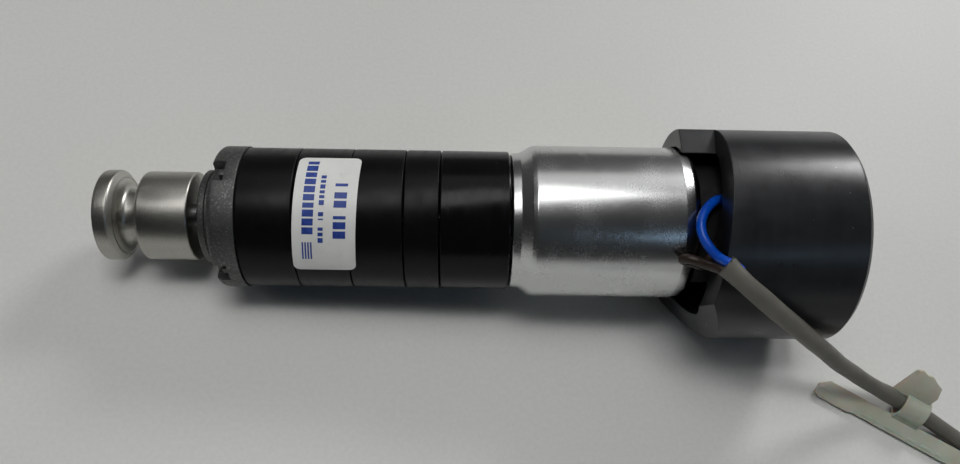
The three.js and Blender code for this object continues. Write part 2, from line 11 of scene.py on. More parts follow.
import bmesh
import bpy
from mathutils import Matrix, Vector


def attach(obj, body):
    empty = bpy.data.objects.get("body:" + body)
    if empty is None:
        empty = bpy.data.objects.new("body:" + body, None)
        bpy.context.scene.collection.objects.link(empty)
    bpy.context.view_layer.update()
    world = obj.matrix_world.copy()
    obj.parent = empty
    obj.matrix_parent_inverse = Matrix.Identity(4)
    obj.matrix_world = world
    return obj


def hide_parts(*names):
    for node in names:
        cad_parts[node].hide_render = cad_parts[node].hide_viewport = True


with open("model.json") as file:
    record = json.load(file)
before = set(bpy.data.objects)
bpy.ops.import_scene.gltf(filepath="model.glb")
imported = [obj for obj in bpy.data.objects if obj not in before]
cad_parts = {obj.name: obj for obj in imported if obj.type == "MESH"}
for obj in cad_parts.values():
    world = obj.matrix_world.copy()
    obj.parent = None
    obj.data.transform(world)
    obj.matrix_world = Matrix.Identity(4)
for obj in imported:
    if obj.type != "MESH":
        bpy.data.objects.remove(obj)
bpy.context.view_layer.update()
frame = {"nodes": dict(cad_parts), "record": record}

MM = 0.001
TAU = 2 * math.pi
HOUSING = "gearmotor_housing"
OUTPUT = "output_set"

# ---- where the machine stands in the frame ----
FLANGE_EDGE = (-64.4, 16.25)          # x and radius of the two edges that the machine rests on
CAP_EDGE = (38.4, 24.2)
CAP_SHIFT = -3.0                      # the cap's axis lies this far to the -Y side of the motor's axis
TILT = math.atan2(CAP_EDGE[1] - FLANGE_EDGE[1], CAP_EDGE[0] - FLANGE_EDGE[0])
AXIS_ORIGIN = Vector((8.414, 3.0, 21.167)) * MM
MACHINE = Matrix.Translation(AXIS_ORIGIN) @ Matrix.Rotation(-TILT, 4, "Y")


def in_frame(x, y, z):
    """A point of the machine's own frame, in millimetres, as a point of the part's frame in metres."""
    return MACHINE @ (Vector((x, y, z)) * MM)


# ---- camera ----
CAMERA_AT = (-10.6, -97.5, 158.7)      # in the machine's own frame, like the axes below
CAMERA_RIGHT = Vector((0.9996, 0.0009, 0.0267))
CAMERA_DOWN = Vector((0.0133, -0.8833, -0.4687))
CAMERA_SENSOR = 36
CAMERA_LENS = 29.72
CAMERA_SHIFT_Y = 0.0396


def make_camera():
    data = bpy.data.cameras.new("camera")
    data.sensor_width = CAMERA_SENSOR
    data.lens = CAMERA_LENS
    data.shift_y = CAMERA_SHIFT_Y
    data.clip_start = 0.01
    data.clip_end = 20
    camera = bpy.data.objects.new("camera", data)
    bpy.context.collection.objects.link(camera)
    right = CAMERA_RIGHT.normalized()
    back = right.cross(-CAMERA_DOWN).normalized()
    up = back.cross(right)
    turn = Matrix((right, up, back)).transposed().to_4x4()
    camera.matrix_world = MACHINE @ Matrix.Translation(Vector(CAMERA_AT) * MM) @ turn
    bpy.context.scene.camera = camera


make_camera()


# ---- materials ----
def material(name):
    """A new material with its Principled shader, and a helper that adds a node and sets its inputs."""
    made = bpy.data.materials.new(name)
    made.use_nodes = True
    nodes = made.node_tree.nodes
    links = made.node_tree.links
    shader = nodes["Principled BSDF"]

    def put(kind, links_in=(), **values):
        node = nodes.new(kind)
        for key, value in values.items():
            setattr(node, key, value)
        for socket, source in links_in:
            if hasattr(source, "links"):
                links.new(source, node.inputs[socket])
            else:
                node.inputs[socket].default_value = source
        return node

    return made, shader, put, links


def scaled_coords(put, scale):
    """Object coordinates times one scale, or times one for each direction, which draws a pattern out."""
    coords = put("ShaderNodeTexCoord").outputs["Object"]
    scale = scale if isinstance(scale, tuple) else (scale,) * 3
    return put("ShaderNodeMapping", [("Vector", coords), ("Scale", scale)]).outputs["Vector"]


def noise(put, scale, detail=4.0, rough=0.55):
    vector = scaled_coords(put, scale)
    return put("ShaderNodeTexNoise", [("Vector", vector), ("Scale", 1.0), ("Detail", detail),
                                      ("Roughness", rough)]).outputs["Fac"]


def ramp(put, source, low, high, first, second):
    """Maps source from low..high to first..second, held at both ends."""
    node = put("ShaderNodeMapRange", [("Value", source), ("From Min", low), ("From Max", high),
                                      ("To Min", first), ("To Max", second)])
    return node.outputs["Result"]


def mix(put, factor, first, second):
    """Blends two colours by a factor that comes from another node."""
    node = put("ShaderNodeMix", data_type="RGBA")
    links = node.id_data.links
    for socket, kind, value in (("Factor", "VALUE", factor), ("A", "RGBA", first), ("B", "RGBA", second)):
        target = next(i for i in node.inputs if i.name == socket and i.type == kind)
        if hasattr(value, "links"):
            links.new(value, target)
        else:
            target.default_value = (*value, 1)
    return next(o for o in node.outputs if o.type == "RGBA")


def combined(put, first, second, operation="ADD"):
    return put("ShaderNodeMath", [(0, first), (1, second)], operation=operation).outputs[0]


def dust_specks(put, scale, edge, strength, kept):
    """Pale specks in a few of the cells of a Voronoi pattern: edge is a speck's rim, kept picks the cells."""
    cells = put("ShaderNodeTexVoronoi", [("Vector", scaled_coords(put, scale)), ("Scale", 1.0)])
    spots = ramp(put, cells.outputs["Distance"], *edge, strength, 0.0)
    picked = put("ShaderNodeSeparateColor", [(0, cells.outputs["Color"])]).outputs[0]
    return combined(put, spots, ramp(put, picked, *kept, 0.0, 1.0), "MULTIPLY")


def turning_marks(put, per_metre, detail=3.0):
    """Fine rings left by a lathe: noise that changes only along the axis of the machine."""
    coords = put("ShaderNodeTexCoord").outputs["Object"]
    along = put("ShaderNodeSeparateXYZ", [(0, coords)]).outputs["X"]
    return put("ShaderNodeTexNoise", [("W", along), ("Scale", per_metre), ("Detail", detail),
                                      ("Roughness", 0.6)], noise_dimensions="1D").outputs["Fac"]


def bump(put, height, strength, distance, under=None):
    pairs = [("Height", height), ("Strength", strength), ("Distance", distance)]
    if under is not None:
        pairs.append(("Normal", under))
    return put("ShaderNodeBump", pairs).outputs["Normal"]


def turned_metal(name, light, dark, roughness, line_scale, line_depth, speckle=0.0, anisotropy=0.0,
                 mottle=1.0, painted_shade_end=None):
    """Metal cut or rolled round its axis: fine rings, a fine speckle and soft patches of handling.

    mottle scales how much the gloss varies. The last argument is the part of the piece's length, from 0 to 1,
    over which the base colour turns dark: painted shade, standing in for the cap's shade and dark reflection on
    the can's rear end.
    """
    made, shader, put, links = material(name)
    rings = turning_marks(put, line_scale)
    patches = noise(put, 110, 2)
    grain = noise(put, 3200, 2)
    tone = combined(put, ramp(put, rings, 0.3, 0.7, 0.0, 0.5), ramp(put, grain, 0.35, 0.65, 0.0, 0.5))
    colour = mix(put, tone, dark, light)
    # painted shade: the base colour darkens towards the piece's end over the given stretch of its length
    if painted_shade_end:
        length = put("ShaderNodeTexCoord").outputs["Generated"]
        along = put("ShaderNodeSeparateXYZ", [(0, length)]).outputs["X"]
        colour = mix(put, ramp(put, along, *painted_shade_end, 0.0, 1.0), colour, (0.1, 0.1, 0.095))
    links.new(colour, shader.inputs["Base Color"])
    wear = combined(put, ramp(put, patches, 0.35, 0.65, -0.015, 0.03),
                 ramp(put, grain, 0.35, 0.65, roughness - 0.03 * mottle, roughness + 0.04 * mottle))
    links.new(wear, shader.inputs["Roughness"])
    shader.inputs["Metallic"].default_value = 1.0
    shader.inputs["Anisotropic"].default_value = anisotropy
    normal = bump(put, rings, 0.5, line_depth)
    if speckle:
        normal = bump(put, grain, speckle, 0.00003, normal)
    links.new(normal, shader.inputs["Normal"])
    return made


def cast_zinc():
    """Die-cast zinc: a grey skin with fine bright flecks and small pits."""
    made, shader, put, links = material("cast_zinc")
    vector = scaled_coords(put, 3400)
    flecks = put("ShaderNodeTexVoronoi", [("Vector", vector), ("Scale", 1.0)]).outputs["Color"]
    single = put("ShaderNodeSeparateColor", [(0, flecks)]).outputs[0]
    grain = noise(put, 2200, 5, 0.6)
    stains = noise(put, 140, 4)
    base = mix(put, ramp(put, stains, 0.35, 0.65, 0, 1), (0.10, 0.103, 0.098), (0.15, 0.154, 0.147))
    bright = mix(put, ramp(put, single, 0.8, 1.0, 0, 0.35), base, (0.42, 0.43, 0.42))
    links.new(bright, shader.inputs["Base Color"])
    links.new(ramp(put, single, 0.2, 1.0, 0.6, 0.45), shader.inputs["Roughness"])
    shader.inputs["Metallic"].default_value = 0.85
    links.new(bump(put, single, 0.2, 0.00003, bump(put, grain, 0.6, 0.00008)), shader.inputs["Normal"])
    return made


def black_coat(name, roughness):
    """Black anodised or lacquered housing, with dust, fine rings and a few light scuffs."""
    made, shader, put, links = material(name)
    rings = turning_marks(put, 4200)
    patches = noise(put, 210, 4)
    scuffs = noise(put, (900, 120, 260), 5, 0.7)
    dust = dust_specks(put, 900, (0.02, 0.07), 0.6, (0.86, 0.9))
    base = mix(put, ramp(put, scuffs, 0.62, 0.8, 0, 0.5), (0.0035, 0.0035, 0.0038), (0.012, 0.012, 0.0125))
    links.new(mix(put, dust, base, (0.16, 0.16, 0.15)), shader.inputs["Base Color"])
    blend = combined(put, ramp(put, patches, 0.3, 0.7, -0.03, 0.05),
                  ramp(put, scuffs, 0.4, 0.75, roughness, roughness + 0.1))
    links.new(blend, shader.inputs["Roughness"])
    shader.inputs["Specular IOR Level"].default_value = 0.2
    links.new(bump(put, rings, 0.25, 0.00002, bump(put, patches, 0.15, 0.00008)), shader.inputs["Normal"])
    return made


def machined_plastic():
    """Dark grey plastic, turned: fine rings, a faint mottling, pale dust and softly broken edges."""
    made, shader, put, links = material("cap_plastic")
    rings = turning_marks(put, 2600, 4.0)
    broad = turning_marks(put, 340, 2.0)
    mottle = noise(put, 190, 5)
    dust = dust_specks(put, 620, (0.03, 0.09), 0.7, (0.9, 0.93))
    tone = combined(put, ramp(put, mottle, 0.3, 0.7, 0.0, 0.6), ramp(put, broad, 0.3, 0.7, 0.0, 0.4))
    base = mix(put, tone, (0.011, 0.0118, 0.0125), (0.018, 0.019, 0.0205))
    links.new(mix(put, dust, base, (0.22, 0.22, 0.20)), shader.inputs["Base Color"])
    links.new(ramp(put, mottle, 0.3, 0.7, 0.27, 0.35), shader.inputs["Roughness"])
    shader.inputs["Specular IOR Level"].default_value = 0.4
    edges = put("ShaderNodeBevel", [("Radius", 0.0003)], samples=6).outputs["Normal"]
    links.new(bump(put, rings, 0.35, 0.00003, bump(put, mottle, 0.2, 0.00006, edges)), shader.inputs["Normal"])
    return made


def plastic(name, light, dark, roughness, grain=700, depth=0.00004, subsurface=0.0, coat=0.0, dirt=None):
    """Moulded or extruded plastic: two close tones, a fine grain, and dirt in patches where it is given."""
    made, shader, put, links = material(name)
    patches = noise(put, 130, 5)
    fine = noise(put, grain, 4)
    colour = mix(put, ramp(put, patches, 0.3, 0.7, 0, 1), dark, light)
    if dirt:
        marks = noise(put, 420, 7, 0.7)
        colour = mix(put, ramp(put, marks, 0.58, 0.72, 0, 0.55), colour, dirt)
    links.new(colour, shader.inputs["Base Color"])
    links.new(ramp(put, fine, 0.3, 0.7, roughness - 0.06, roughness + 0.08), shader.inputs["Roughness"])
    shader.inputs["Subsurface Weight"].default_value = subsurface
    shader.inputs["Subsurface Scale"].default_value = 0.002
    shader.inputs["Coat Weight"].default_value = coat
    links.new(bump(put, fine, 0.25, depth), shader.inputs["Normal"])
    return made


def plain_metal(name, light, dark, roughness, grain=900):
    made, shader, put, links = material(name)
    patches = noise(put, 260, 4)
    fine = noise(put, grain, 3)
    links.new(mix(put, ramp(put, patches, 0.3, 0.7, 0, 1), dark, light), shader.inputs["Base Color"])
    links.new(ramp(put, fine, 0.3, 0.7, roughness - 0.06, roughness + 0.08), shader.inputs["Roughness"])
    shader.inputs["Metallic"].default_value = 1.0
    links.new(bump(put, fine, 0.3, 0.00002), shader.inputs["Normal"])
    return made


LOOKS = {
    "cast_zinc": cast_zinc(),
    "turned_aluminium": turned_metal("turned_aluminium", (0.56, 0.55, 0.51), (0.43, 0.42, 0.38), 0.36, 4200,
                                     0.00004, 0.15, 0.3),
    # the can's base colour darkens over its last stretch near the cap: painted shade and painted dark reflection
    "plated_steel": turned_metal("plated_steel", (0.72, 0.73, 0.72), (0.68, 0.69, 0.68), 0.25, 2600,
                                 0.000003, 0.0, 0.1, 0.3, (0.9, 0.985)),
    "black_housing": black_coat("black_housing", 0.3),
    "black_gloss": black_coat("black_gloss", 0.17),
    "cap_plastic": machined_plastic(),
    "bearing_steel": plain_metal("bearing_steel", (0.66, 0.67, 0.68), (0.5, 0.51, 0.52), 0.2),
    "gear_steel": plain_metal("gear_steel", (0.42, 0.43, 0.44), (0.30, 0.31, 0.32), 0.33),
    "bronze": plain_metal("bronze", (0.55, 0.33, 0.14), (0.40, 0.22, 0.09), 0.42),
    "copper": plain_metal("copper", (0.72, 0.32, 0.14), (0.50, 0.19, 0.08), 0.35, 2400),
    "magnet": plain_metal("magnet", (0.10, 0.10, 0.11), (0.06, 0.06, 0.065), 0.5),
    "brass_terminal": plain_metal("brass_terminal", (0.66, 0.52, 0.25), (0.50, 0.38, 0.16), 0.3),
    "tinned_copper": plain_metal("tinned_copper", (0.72, 0.72, 0.70), (0.58, 0.58, 0.56), 0.24),
    "carbon": plastic("carbon", (0.035, 0.035, 0.035), (0.02, 0.02, 0.02), 0.7),
    "black_plastic": plastic("black_plastic", (0.004, 0.004, 0.0045), (0.002, 0.002, 0.002), 0.7),
    "blue_insulation": plastic("blue_insulation", (0.0, 0.085, 0.56), (0.0, 0.06, 0.44), 0.3, 500, 0.00002,
                               0.12, 0.15),
    "brown_insulation": plastic("brown_insulation", (0.03, 0.018, 0.013), (0.02, 0.012, 0.009), 0.4, 500,
                                0.00002),
    "grey_sheath": plastic("grey_sheath", (0.155, 0.15, 0.127), (0.12, 0.115, 0.098), 0.42, 420, 0.00005, 0.03,
                           0.0, (0.10, 0.092, 0.078)),
    "natural_nylon": plastic("natural_nylon", (0.50, 0.51, 0.43), (0.41, 0.42, 0.34), 0.34, 520, 0.00004, 0.6,
                             0.1, (0.30, 0.29, 0.20)),
    "label_film": plastic("label_film", (0.80, 0.80, 0.77), (0.72, 0.72, 0.69), 0.4, 900, 0.00002, 0.0, 0.0,
                          (0.62, 0.61, 0.57)),
}


def label_ink():
    made, shader, put, links = material("label_ink")
    patches = noise(put, 900, 5)
    links.new(mix(put, ramp(put, patches, 0.35, 0.65, 0, 1), (0.02, 0.045, 0.24), (0.035, 0.075, 0.33)),
              shader.inputs["Base Color"])
    links.new(ramp(put, patches, 0.3, 0.7, 0.38, 0.5), shader.inputs["Roughness"])
    return made


LOOKS["label_ink"] = label_ink()


# ---- mesh work ----
def new_object(name, vertices, faces, place=MACHINE, unit=MM):
    mesh = bpy.data.meshes.new(name)
    mesh.from_pydata([tuple(c * unit for c in v) for v in vertices], [], faces)
    shaped = bmesh.new()
    shaped.from_mesh(mesh)
    bmesh.ops.remove_doubles(shaped, verts=shaped.verts, dist=1e-7)
    bmesh.ops.recalc_face_normals(shaped, faces=shaped.faces)
    shaped.to_mesh(mesh)
    shaped.free()
    made = bpy.data.objects.new(name, mesh)
    bpy.context.collection.objects.link(made)
    made.matrix_world = place.copy()
    return made


def smooth(piece, degrees=32):
    piece.data.shade_smooth()
    piece.data.set_sharp_from_angle(angle=math.radians(degrees))
    return piece


def rounded(profile, steps=5):
    """Replaces each corner (x, r, radius) of a profile by an arc. A corner with no radius stays sharp."""
    count = len(profile)
    out = []
    for i, corner in enumerate(profile):
        here = Vector(corner[:2])
        size = corner[2] if len(corner) > 2 else 0
        if not size:
            out.append(tuple(here))
            continue
        before = Vector(profile[i - 1][:2])
        after = Vector(profile[(i + 1) % count][:2])
        to_before = (before - here).normalized()
        to_after = (after - here).normalized()
        angle = to_before.angle(to_after)
        reach = min(size / math.tan(angle / 2), (before - here).length * 0.49, (after - here).length * 0.49)
        radius = reach * math.tan(angle / 2)
        centre = here + (to_before + to_after).normalized() * (radius / math.sin(angle / 2))
        start = here + to_before * reach - centre
        swing = start.angle_signed(here + to_after * reach - centre)
        for k in range(steps + 1):
            turn = Matrix.Rotation(-swing * k / steps, 2)
            out.append(tuple(centre + turn @ start))
    return out


def lathe(name, profile, sides=128, closed=True):
    """A solid of revolution about x. The profile is a closed loop, or runs from the axis to the axis."""
    rings = []
    vertices = []
    for x, r in profile:
        if r < 1e-6:
            rings.append([len(vertices)] * sides)
            vertices.append((x, 0, 0))
            continue
        rings.append(list(range(len(vertices), len(vertices) + sides)))
        for k in range(sides):
            a = TAU * k / sides
            vertices.append((x, r * math.cos(a), r * math.sin(a)))
    faces = []
    last = len(rings) if closed else len(rings) - 1
    for i in range(last):
        one = rings[i]
        two = rings[(i + 1) % len(rings)]
        for k in range(sides):
            n = (k + 1) % sides
            face = list(dict.fromkeys((one[k], one[n], two[n], two[k])))
            if len(face) > 2:
                faces.append(face)
    return new_object(name, vertices, faces)


def closed_faces(count):
    """The faces of a bar between two like outlines of count points, one after the other."""
    ends = [list(range(count)), list(range(count, 2 * count))]
    return ends + [[i, (i + 1) % count, count + (i + 1) % count, count + i] for i in range(count)]


def prism(name, outline, x0, x1):
    """An outline in y and z, pulled along the axis from x0 to x1."""
    vertices = [(x, y, z) for x in (x0, x1) for y, z in outline]
    return new_object(name, vertices, closed_faces(len(outline)))


BOX_FACES = [(0, 1, 3, 2), (4, 5, 7, 6), (0, 1, 5, 4), (2, 3, 7, 6), (0, 2, 6, 4), (1, 3, 7, 5)]


def block(low, high, turn=Matrix.Identity(4)):
    """A box used as a cutting tool, in the machine's own frame."""
    corners = [turn @ Vector([(low, high)[(i >> k) & 1][k] for k in range(3)]) for i in range(8)]
    return new_object("tool", corners, BOX_FACES)


def rod(x0, x1, r, centre=(0, 0), sides=48):
    outline = [(centre[0] + r * math.cos(TAU * k / sides), centre[1] + r * math.sin(TAU * k / sides))
               for k in range(sides)]
    return prism("tool", outline, x0, x1)


def aim(piece, degrees):
    """Turns a tool drawn pointing up round the axis, to the direction degrees up from the -Y side."""
    piece.data.transform(Matrix.Rotation(math.radians(90 - degrees), 4, "X"))
    return piece


def applied(piece):
    """Bakes the piece's modifiers into its mesh."""
    shape = piece.evaluated_get(bpy.context.evaluated_depsgraph_get())
    mesh = bpy.data.meshes.new_from_object(shape)
    piece.modifiers.clear()
    piece.data = mesh
    return piece


def boolean(piece, tools, operation="DIFFERENCE"):
    for tool in tools:
        change = piece.modifiers.new("cut", "BOOLEAN")
        change.operation = operation
        change.solver = "EXACT"
        change.object = tool
        bpy.context.view_layer.update()
        applied(piece)
        bpy.data.objects.remove(tool)
    return piece


def bevelled(piece, width, segments=2, degrees=35):
    change = piece.modifiers.new("bevel", "BEVEL")
    change.width = width * MM
    change.segments = segments
    change.limit_method = "ANGLE"
    change.angle_limit = math.radians(degrees)
    bpy.context.view_layer.update()
    return applied(piece)


def finish_piece(piece, look, body, *nodes, degrees=32, slot=None):
    piece.data.materials.clear()
    piece.data.materials.append(LOOKS[look])
    smooth(piece, degrees)
    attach(piece, body)
    if nodes:
        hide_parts(*nodes)
    return piece


# ---- lead ----
def spline(points, step=0.8):
    """Points at even steps along a centripetal Catmull-Rom curve through the given points."""
    knots = [Vector(p) for p in points]
    first = knots[0] * 2 - knots[1]
    last = knots[-1] * 2 - knots[-2]
    padded = [first, *knots, last]
    out = []
    for i in range(1, len(padded) - 2):
        p = padded[i - 1:i + 3]
        t = [0.0]
        for a, b in zip(p, p[1:]):
            t.append(t[-1] + max((b - a).length, 1e-6) ** 0.5)
        pieces = max(2, round((p[2] - p[1]).length / step))
        for k in range(pieces):
            u = t[1] + (t[2] - t[1]) * k / pieces
            a = [p[j].lerp(p[j + 1], (u - t[j]) / (t[j + 1] - t[j])) for j in range(3)]
            b = [a[j].lerp(a[j + 1], (u - t[j]) / (t[j + 2] - t[j])) for j in range(2)]
            out.append(b[0].lerp(b[1], (u - t[1]) / (t[2] - t[1])))
    out.append(knots[-1])
    return out


def directions(points):
    ends = [points[0], *points, points[-1]]
    return [(ends[i + 2] - ends[i]).normalized() for i in range(len(points))]


def sweep(name, points, thin_way, section, sides, place=Matrix.Identity(4)):
    """A closed tube. thin_way(i) points across the thin side, and section(i, angle) gives its two offsets."""
    vertices = []
    ways = directions(points)
    for i, (point, way) in enumerate(zip(points, ways)):
        thin = Vector(thin_way(i))
        thin = (thin - way * thin.dot(way)).normalized()
        wide = way.cross(thin)
        for k in range(sides):
            a, b = section(i, TAU * k / sides)
            vertices.append(tuple(point + thin * a + wide * b))
    rings = len(points)
    faces = [[i * sides + k, i * sides + (k + 1) % sides, (i + 1) * sides + (k + 1) % sides, (i + 1) * sides + k]
             for i in range(rings - 1) for k in range(sides)]
    faces += [list(range(sides)), [(rings - 1) * sides + k for k in range(sides)]]
    return new_object(name, vertices, faces, place)


SHEATH_WIDTH = 4.2
SHEATH_THICK = 3.7
SHEATH_SIDES = 24
CORE_R = 1.05
SHEATH = [
    (49.7, -18.4, 43.3), (53.5, -21.7, 42.3), (58.0, -23.9, 39.9), (62.6, -25.4, 36.7), (68.3, -26.6, 32.4),
    (74.2, -27.3, 27.3), (79.5, -27.9, 22.8), (84.6, -28.6, 18.4), (89.8, -28.9, 14.3), (94.8, -29.5, 10.6),
    (100.5, -30.4, 7.2), (106.0, -31.9, 4.9), (109.4, -33.6, 3.9), (112.6, -35.6, 3.7), (116.4, -37.9, 2.9),
    (120.2, -40.4, 2.25), (124.3, -43.6, 2.15), (128.0, -47.8, 2.15), (130.7, -53.0, 2.15),
    (131.9, -58.8, 2.15), (132.0, -65.2, 2.15),
]
TAIL = [(84.4, -110.0, 5.2), (79.6, -112.0, 3.9), (74.2, -113.7, 2.8), (68.4, -115.0, 2.25), (62.0, -116.0, 2.15)]
BLUE_CORE = [                          # in the machine's own frame, on into the sheath
    (47.6, -2.4, 14.2), (46.4, -2.5, 14.3), (45.2, -2.7, 14.4), (44.0, -3.6, 15.0), (42.4, -5.3, 15.7),
    (40.9, -7.5, 16.3), (40.0, -9.8, 16.3), (40.0, -12.0, 15.9), (40.6, -14.2, 15.7), (41.5, -16.5, 16.1),
    (42.0, -18.4, 17.2), (42.8, -20.1, 18.4), (44.4, -21.3, 18.9), (46.2, -22.5, 18.5),
]
BROWN_CORE = [
    (47.6, -8.6, 11.3), (46.7, -8.9, 11.2), (45.2, -11.6, 9.5), (43.5, -13.9, 8.2), (41.9, -15.9, 8.8),
    (40.5, -16.6, 10.0), (39.1, -16.1, 10.0), (38.0, -15.9, 10.2), (36.6, -16.1, 11.4), (37.4, -16.6, 12.7),
    (38.5, -17.0, 12.9), (39.6, -17.7, 13.2), (40.6, -18.8, 14.2), (41.3, -20.0, 15.6), (42.3, -21.3, 17.0),
    (44.0, -22.4, 17.2), (45.8, -23.4, 16.9),
]
CORE_ENDS = {
    "blue": [(61.2, -114.9, 2.6), (58.0, -114.3, 2.2), (54.0, -113.0, 1.6), (50.0, -111.6, 1.4)],
    "brown": [(61.2, -117.2, 2.2), (58.0, -117.7, 1.9), (54.0, -118.6, 1.6), (50.0, -119.9, 1.4)],
}
COIL_CENTRE = (104.5, -84.0)
LAY_HEIGHT = 2.15                      # the centre of a strand that lies on the surface
OUTER_TURN = 27.6
INNER_TURN = 23.0
TOP_TURN = 25.3
TOP_HEIGHT = 6.4
TIE_LIFT = 0.75                        # room for the tie under the strands, a half turn round the coil


def coil_points():
    """Clockwise from the lead's arrival: an outer turn, an inner turn, then up into the valley between them."""
    stops = [                          # degrees turned, radius, height
        (0, OUTER_TURN, LAY_HEIGHT), (300, OUTER_TURN, LAY_HEIGHT), (360, INNER_TURN, LAY_HEIGHT),
        (596, INNER_TURN, LAY_HEIGHT), (622, 23.2, 4.6), (642, 24.3, 6.3), (664, TOP_TURN, 6.95),
        (716, TOP_TURN, 6.95), (740, TOP_TURN, TOP_HEIGHT), (812, TOP_TURN, TOP_HEIGHT),
    ]
    out = []
    for turned in range(0, 813, 9):
        i = next(k for k in range(len(stops) - 1) if stops[k + 1][0] >= turned)
        (d0, r0, z0), (d1, r1, z1) = stops[i], stops[i + 1]
        t = (turned - d0) / (d1 - d0)
        t = t * t * (3 - 2 * t)
        angle = math.radians(-turned)
        lift = TIE_LIFT * math.exp(-((turned % 360 - 180) / 24) ** 2)
        r = r0 + (r1 - r0) * t
        out.append((COIL_CENTRE[0] + r * math.cos(angle), COIL_CENTRE[1] + r * math.sin(angle),
                    z0 + (z1 - z0) * t + lift))
    return out


def lead_points():
    hump = [(97.4, -109.6, 6.9), (93.0, -109.6, 7.05), (88.8, -109.7, 6.4)]
    straight_in = [(132.1, -71.5, LAY_HEIGHT), (132.1, -77.8, LAY_HEIGHT)]
    return [*SHEATH, *straight_in, *coil_points(), *hump, *TAIL]


def make_lead():
    """The sheathed lead. Its thin side faces away from the cap's axis, and turns level where it lies down."""
    points = spline(lead_points())
    lengths = [0.0]
    for a, b in zip(points, points[1:]):
        lengths.append(lengths[-1] + (b - a).length)
    cap_axis = [in_frame(x, CAP_SHIFT, 0) / MM for x in (0, 100)]
    along = (cap_axis[1] - cap_axis[0]).normalized()
    random.seed(5)
    ragged = [random.uniform(-0.28, 0.28) for _ in range(SHEATH_SIDES)]

    def thin_way(i):
        out = points[i] - cap_axis[0]
        out = (out - along * out.dot(along)).normalized()
        level = directions(points[max(i - 1, 0):i + 2])[0].cross(Vector((0, 0, 1)))
        share = min(1.0, max(0.0, (lengths[i] - 55) / 25))
        return out.lerp(-level.normalized(), share)

    def section(i, angle):
        flare = 1 + 0.16 * math.exp(-lengths[i] / 1.6)
        pinch = 1 - 0.05 * math.exp(-((lengths[i] - 6) / 3) ** 2)
        size = flare * pinch
        return (SHEATH_THICK / 2 * size * math.cos(angle), SHEATH_WIDTH / 2 * size * math.sin(angle))

    lead = sweep("lead_sheath", points, thin_way, section, SHEATH_SIDES)
    way = directions(points)[0]
    for k, depth in enumerate(ragged):
        lead.data.vertices[k].co += way * depth * MM
    return lead, points, lengths[-1]


lead, lead_path, lead_length = make_lead()
finish_piece(lead, "grey_sheath", HOUSING, "cable", "cable_coil", "cable_tail", degrees=50)


def make_core(name, points, look, place, nodes):
    route = spline(points, 0.35)
    ways = directions(route)
    thin = [Vector((0.3, 0.2, 1))]
    for way in ways:
        thin.append((thin[-1] - way * thin[-1].dot(way)).normalized())

    def section(i, angle):
        end = min(i, len(route) - 1 - i)
        size = CORE_R * (0.86 if end == 0 else 0.97 if end == 1 else 1)
        return (size * math.cos(angle), size * math.sin(angle))

    core = sweep(name, route, lambda i: thin[i + 1], section, 20, place)
    return finish_piece(core, look, HOUSING, *nodes, degrees=50)


make_core("blue_core_wire", BLUE_CORE, "blue_insulation", MACHINE, ["blue_core"])
make_core("brown_core_wire", BROWN_CORE, "brown_insulation", MACHINE, ["brown_core"])


def crimped_ferrule(name, end, heading, collar_look, node):
    """An end sleeve: a plastic collar over the insulation, and a tinned tube with its crimp marks."""
    place = Matrix.Translation(Vector(end) * MM) @ Matrix.Rotation(heading, 4, "Z")
    collar_profile = rounded([(0.3, 0.75), (0.3, 1.35, 0.15), (2.6, 1.35, 0.2), (3.5, 0.86, 0.1), (3.5, 0.75)])
    collar = lathe(name + "_collar", collar_profile, 40)
    tube_profile = [(3.0, 0.0), (3.0, 0.8), (9.4, 0.8), (9.55, 0.7), (9.55, 0.0)]
    tube = lathe(name + "_tube", tube_profile, 40, closed=False)
    for vertex in tube.data.vertices:
        if 3.2 < vertex.co.x / MM < 9.3:
            vertex.co.z *= 0.9
    boolean(tube, [block((x, -1.2, 0.66), (x + 0.5, 1.2, 1.0)) for x in (4.2, 5.4, 6.6, 7.8)])
    for part in (collar, tube):
        part.matrix_world = place
    finish_piece(collar, collar_look, HOUSING)
    finish_piece(tube, "tinned_copper", HOUSING, node)
    return [collar, tube]


lead_pieces = []
for colour in ("blue", "brown"):
    ends = CORE_ENDS[colour]
    lead_pieces.append(make_core(f"stripped_core_{colour}", ends, f"{colour}_insulation", Matrix.Identity(4),
                                 [f"core_end_{colour}"]))
    dx, dy, _ = (b - a for a, b in zip(ends[-2], ends[-1]))
    lead_pieces += crimped_ferrule(f"ferrule_{colour}", ends[-1], math.atan2(dy, dx), f"{colour}_insulation",
                                   f"end_ferrule_{colour}")


def outline_solid(name, outline, thickness, place):
    """A flat plate: an outline in x and y, thickness up from z = 0."""
    vertices = [(x, y, z) for z in (0, thickness) for x, y in outline]
    return new_object(name, vertices, closed_faces(len(outline)), place)


MARKER_AT = (109.4, -33.7, 4.1)
MARKER_HEADING = -0.52


